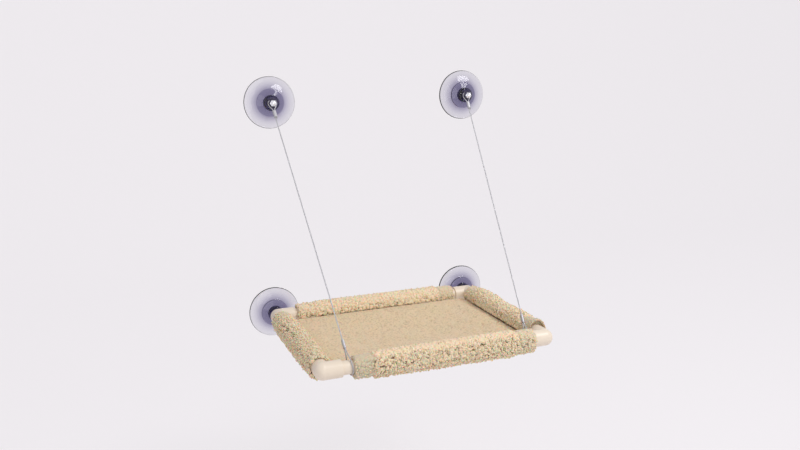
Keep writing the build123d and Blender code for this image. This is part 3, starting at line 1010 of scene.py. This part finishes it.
# The left flap faces away from the key light, so its ground gets the deepest painted shade in its pits
# and the least painted light on its top.
flaps = [
    Flap("rear_sleeve", "rear_rail", Vector((0, -1, 0)), long_hem, pockets=(0, 0),
         slack=((0, 0.0005, 0.001), (1, 0.0005, 0.001)), flat_ends=(0.2, 0.6), pit_share=0.3,
         crease_shade_depth=0.6),
    Flap("front_sleeve", "front_rail", Vector((0, 1, 0)), long_hem, pockets=(0, 0.0114),
         slack=((0, 0, 0.003), (0.5, 0, 0.0035), (1, 0, 0.004)), flat_ends=(1, 0.6), pit_share=0.5,
         painted_pit_shade=1.5, brushed_and_lit_lean=0.3),
    Flap("left_sleeve", "side_rail_left", Vector((1, 0, 0)), short_hem, pockets=(0.0016, 0.0144),
         slack=((0, 0.001, 0.007), (0.12, 0.001, 0.001), (1, 0.001, 0.001)), flat_ends=(0.6, 0.2),
         pit_share=0.7, painted_pit_shade=2.2, brushed_and_lit_share=0.25, brushed_and_lit_lean=0.8),
    Flap("right_sleeve", "side_rail_right", Vector((-1, 0, 0)), short_hem, pockets=(0.0066, 0.0094),
         slack=((0, 0.0015, 0.001), (0.2, 0.005, 0.001), (0.35, 0.0045, 0.001), (0.5, 0.001, 0.001),
                (0.8, 0.0035, 0.001), (0.9, 0.0045, 0.001), (1, 0.009, 0.001)),
         flat_ends=(0.4, 1), pit_share=0.35, painted_pit_shade=1.2, brushed_and_lit_share=0.7, brushed_and_lit_lean=-0.2)]
print("flaps", [(flap.node, round(flap.length, 4)) for flap in flaps])

# %% [markdown]
# The roll is a turned outline, with a flatter hem and a drawn-in seam near each end, and the tongue is
# a thin slab. A voxel remesh grows the two into one skin of even faces, which the lumps need. Then the
# cloth is loosened: it stands up a little over its pipe and hangs a little below.

# %% Flap shape
hem_step = 0.0005
seam_depth, seam_width = 0.0016, 0.0035
open_corner, pocket_corner = 0.003, 0.0008
corner_cut, seam_slope = 0.3, 0.4
mouth_round = 0.0005
voxel = 0.0012
tongue_top, tongue_bottom = -0.0105, -0.0135
tongue_growth = 0.3 * cloth_skin
tongue_half, short_tongue_half = 0.1372, 0.0982
roll_steps = 64


def roll_end(flap, pocket):
    """(radius, place along the roll) of one end, from its bore out. A pocket goes over an elbow."""
    outer, hem_radius = flap.radius - cloth_skin, flap.radius - hem_step - cloth_skin
    end, seam = flap.length / 2 - cloth_skin, flap.length / 2 - cloth_skin - flap.hem
    mouth, corner = (pocket_radius, pocket_corner) if pocket else (bore_radius, open_corner)
    inside = [(bore_radius, end - pocket), (mouth, end - pocket)] if pocket else []
    return inside + [
        (mouth, end - mouth_round), (mouth + mouth_round, end),
        (hem_radius - corner, end), (hem_radius - corner * corner_cut, end - corner * corner_cut),
        (hem_radius, end - corner), (hem_radius, seam + seam_width),
        (hem_radius - seam_depth, seam), (outer - seam_depth * seam_slope, seam - seam_width),
        (outer, seam - 2 * seam_width)]


def rolled(flap):
    """The roll about its own axis."""
    start, end = (roll_end(flap, pocket) for pocket in flap.pockets)
    outline = end + [(distance, -along) for distance, along in reversed(start)]
    shape = turned(outline, roll_steps)
    turn = Matrix.Rotation(math.pi / 2, 3, "Z") if flap.along_x else Matrix.Identity(3)
    bmesh.ops.rotate(shape, verts=shape.verts, cent=(0, 0, 0), matrix=turn)
    bmesh.ops.translate(shape, verts=shape.verts, vec=flap.axis)
    return shape


def add_tongue(shape, flap):
    """Adds the slab that goes from the axis to under the panel."""
    half = (tongue_half if flap.along_x else short_tongue_half) - cloth_skin
    wide = flap.reach - cloth_skin
    thick = tongue_top - tongue_bottom - 2 * tongue_growth
    centre = flap.axis + flap.inner * wide / 2
    centre.z = (tongue_top + tongue_bottom) / 2
    if flap.along_x:
        centre.x = 0
    else:
        centre.y = (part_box("front_rail")[0].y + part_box("rear_rail")[1].y) / 2
    slab = bmesh.ops.create_cube(shape, size=1)["verts"]
    size = (2 * half, wide, thick) if flap.along_x else (wide, 2 * half, thick)
    bmesh.ops.scale(shape, verts=slab, vec=size)
    bmesh.ops.translate(shape, verts=slab, vec=centre)


def voxel_skin(name, shape):
    """One skin of even faces round all the closed shells of a shape."""
    rough = new_piece(name, shape)
    remesh = rough.modifiers.new("skin", "REMESH")
    remesh.mode = "VOXEL"
    remesh.voxel_size = voxel
    rough.modifiers.new("soften", "SMOOTH").iterations = 2
    mesh = settled(rough)
    bpy.data.objects.remove(rough)
    mesh.name = name
    mesh.polygons.foreach_set("use_smooth", [True] * len(mesh.polygons))
    return placed(name, mesh)


def loosen(skin, flap):
    """Lets the cloth stand up over its pipe and hang below it."""
    for vertex in skin.data.vertices:
        travel, offset = flap.travel_and_offset(vertex.co)
        give = flap.give(travel, offset.z > 0)
        vertex.co.z += flap.showing(offset) * give * min(max(offset.z / flap.radius, -1), 1)


# %% Make the flaps
tongue_reach, tongue_beyond_roll = 0.046, 0.027


def dressed_flap(flap, seed):
    shape = rolled(flap)
    add_tongue(shape, flap)
    skin = voxel_skin(f"{flap.node}_fleece", shape)
    loosen(skin, flap)
    raise_lumps(skin, lump_cell, flap.height_at, flap.painted_light_at, flap.flat_at)
    dress(skin, sleeve_ground)
    pile = tufts_on(skin, f"{flap.node}_curls", flap.spacing_at, flap.size_at, seed)
    for piece in (skin, pile):
        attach(piece, "tray")
        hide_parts(flap.node)
    circumference = 2 * math.pi * flap.radius
    tongue_length = 2 * (tongue_half if flap.along_x else short_tongue_half)
    flap.length * circumference + tongue_length * tongue_beyond_roll
    print(flap.node, "faces", len(skin.data.polygons))


for seed, flap in enumerate(flaps, start=11):
    dressed_flap(flap, seed)

# %% [markdown]
# ## Seat panel
# The seat is one sheet of the same fleece, stretched between the rolls and sagging a little in the
# middle. A cloth simulation gives the sag: the sheet is pinned along its border, where the tape holds
# it, and hangs under its own weight. It is then given its thickness and a short, flat pile.

# %% Seat panel
seat_grid = 0.003
seat_border = 0.025
seat_top, seat_sag = -0.004, 0.010
seat_thickness, pile_allowance = 0.004, 0.0006
panel_low, panel_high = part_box("seat_panel")
cloth_steps = 18
cloth_settings = {
    "vertex_group_mass": "held", "quality": 4, "mass": 0.3, "tension_stiffness": 6,
    "compression_stiffness": 6, "shear_stiffness": 2, "bending_stiffness": 0.5}


def seat_sheet():
    """The flat sheet, before it sags."""
    shape = bmesh.new()
    size = panel_high - panel_low
    bmesh.ops.create_grid(shape, x_segments=round(size.x / seat_grid),
                          y_segments=round(size.y / seat_grid), size=0.5)
    bmesh.ops.scale(shape, verts=shape.verts, vec=(size.x, size.y, 1))
    centre = (panel_low + panel_high) / 2
    bmesh.ops.translate(shape, verts=shape.verts, vec=(centre.x, centre.y, seat_top))
    return new_piece("seat_panel_fleece", shape)


def edge_distance(point):
    return min(point.x - panel_low.x, panel_high.x - point.x, point.y - panel_low.y,
               panel_high.y - point.y)


def hang(sheet):
    """Lets the sheet sag from its pinned border, and scales the sag to the real one."""
    pins = sheet.vertex_groups.new(name="held")
    held = [vertex.index for vertex in sheet.data.vertices if edge_distance(vertex.co) < seat_border]
    pins.add(held, 1.0, "REPLACE")
    cloth = sheet.modifiers.new("cloth", "CLOTH")
    for name, value in cloth_settings.items():
        setattr(cloth.settings, name, value)
    cloth.collision_settings.use_collision = False
    for step in range(1, cloth_steps + 1):
        bpy.context.scene.frame_set(step)
    hung = settled(sheet)
    deepest = min(vertex.co.z for vertex in hung.vertices) - seat_top
    print("simulated sag", round(deepest / MM, 2), "mm")
    share = -seat_sag / deepest
    for vertex, result in zip(sheet.data.vertices, hung.vertices):
        vertex.co.z = seat_top + (result.co.z - seat_top) * share
    sheet.modifiers.clear()
    bpy.data.meshes.remove(hung)
    bpy.context.scene.frame_set(1)


seat = seat_sheet()
hang(seat)
for kind, settings in (("SUBSURF", {"levels": 1, "render_levels": 1}),
                       ("SOLIDIFY", {"thickness": seat_thickness - pile_allowance, "offset": -1})):
    modifier = seat.modifiers.new(kind, kind)
    for name, value in settings.items():
        setattr(modifier, name, value)
finished = settled(seat)
seat.modifiers.clear()
seat.data = finished
seat_cell = 0.0043
seat_pile, seat_pile_root = 0.0009, 0.0004
rim_margin, rim_fade = 0.0005, 0.003
ripple_length, ripple_width, ripple_height = 0.016, 2.5, 0.0011


def seat_height(point, tall):
    """Short pile, and soft ripples where the cloth isn't pulled tight."""
    rim = smoothed((edge_distance(point) + rim_margin) / rim_fade)
    ripple = noise.noise(Vector((point.x / ripple_length, point.y / ripple_length / ripple_width, 0)))
    return rim * (tall * seat_pile - seat_pile_root + ripple * ripple_height)


# On the seat the lump height is used as painted light: lighter on each lump, painted shade between
# them.
raise_lumps(seat, seat_cell, seat_height, lambda point, tall, open_share: tall, lambda point: 0)
dress(seat, panel_ground)
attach(seat, "tray")
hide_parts("seat_panel")
print("seat faces", len(seat.data.polygons))

# %% [markdown]
# ## Tape
# Hook-and-loop tape is woven, with rows of tiny hooks or loops. It is hidden under the seat, so a
# weave in the bump and a rough, slightly shiny nylon are enough.

# %% Tape


def tape_material():
    paint = Paint("hook_and_loop_tape")
    rows = paint.add("ShaderNodeTexWave", {"bands_direction": "DIAGONAL"},
                     {"Vector": paint.place(), "Scale": 320.0, "Distortion": 1.5, "Detail": 2.0}, 1)
    colour = paint.blend(rows, (0.50, 0.45, 0.36), (0.62, 0.57, 0.47))
    return paint.finish(Base_Color=colour, Roughness=0.7, Sheen_Weight=0.3,
                        Normal=paint.bump(rows, 0.0004))


tape = tape_material()
for node in ("hook_strips", "loop_strips"):
    dress(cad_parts[node], tape)
